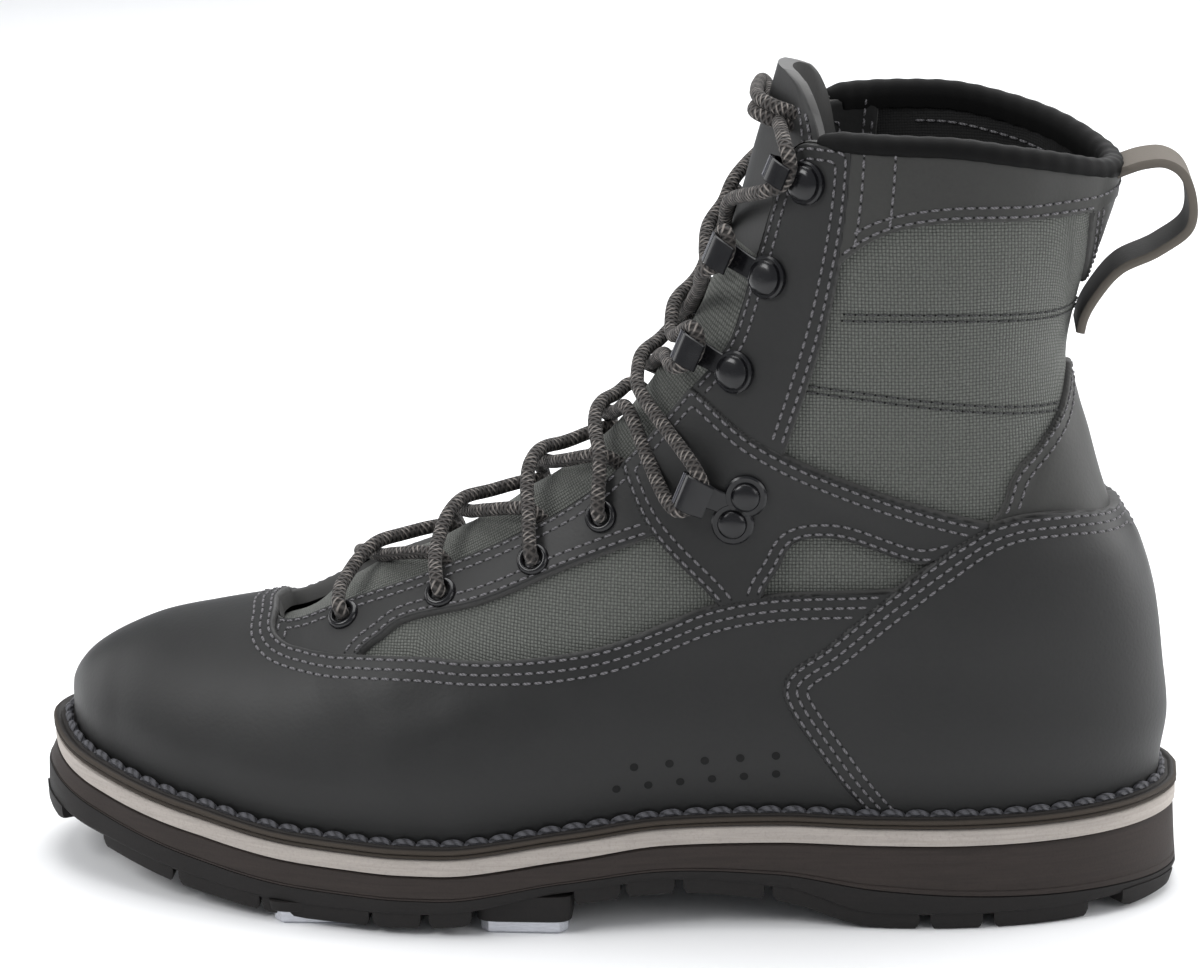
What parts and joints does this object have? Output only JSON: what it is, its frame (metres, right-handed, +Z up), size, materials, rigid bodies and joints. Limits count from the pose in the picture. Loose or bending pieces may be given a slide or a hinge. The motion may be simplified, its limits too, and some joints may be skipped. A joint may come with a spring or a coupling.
{
  "type": "wading boot",
  "caption": "Tall laced wading boot with stitched welt, lugged sole, metal tread bars, textile side windows, open collar and a heel pull loop.",
  "frame": {"origin": "middle of the boot's box, at the height the tread stands on", "axes": "+Z up, +X towards the heel, -Y towards the outer side of the foot"},
  "size_m": [0.3248, 0.1078, 0.2328],
  "materials": {
    "lug_rubber": "matt tread rubber",
    "wedge_foam": "matt brown foam",
    "pale_foam": "matt pale foam",
    "welt_leather": "dark waxed leather",
    "textile": "grey basket weave",
    "leather": "dark matt smooth leather",
    "lining": "black lining",
    "black_metal": "black satin",
    "bar_metal": "brushed, plain",
    "lace": "round braid"
  },
  "bodies": {
    "root": {"ankle_strap_lateral": "leather", "ankle_strap_medial": "leather", "back_stay": "leather", "bar_front_lateral": "bar_metal", "bar_front_medial": "bar_metal", "bar_heel": "bar_metal", "bar_rear_lateral": "bar_metal", "bar_rear_medial": "bar_metal", "collar_band": "leather", "collar_binding": "lining", "eyelet_1_lateral": "black_metal", "eyelet_1_medial": "black_metal", "eyelet_2_lateral": "black_metal", "eyelet_2_medial": "black_metal", "eyelet_3_lateral": "black_metal", "eyelet_3_medial": "black_metal", "eyelet_4_lateral": "black_metal", "eyelet_4_medial": "black_metal", "eyestay_lateral": "leather", "eyestay_medial": "leather", "heel_counter": "leather", "hook_high_lateral": "black_metal", "hook_high_medial": "black_metal", "hook_low_lateral": "black_metal", "hook_low_medial": "black_metal", "insole": "lining", "lace_crossing_1": "lace", "lace_crossing_2": "lace", "lace_crossing_3": "lace", "lace_crossing_4": "lace", "lace_crossing_5": "lace", "lace_crossing_6": "lace", "lace_crossing_7": "lace", "lock_hook_lateral": "black_metal", "lock_hook_medial": "black_metal", "midsole_layer": "pale_foam", "outsole": "lug_rubber", "pull_loop": "leather", "shaft_facing_lateral": "leather", "shaft_facing_medial": "leather", "tongue": "textile", "top_hook_lateral": "black_metal", "top_hook_medial": "black_metal", "upper": "textile", "vamp_leather": "leather", "wedge_midsole": "wedge_foam", "welt": "welt_leather"}
  },
  "joints": []
}
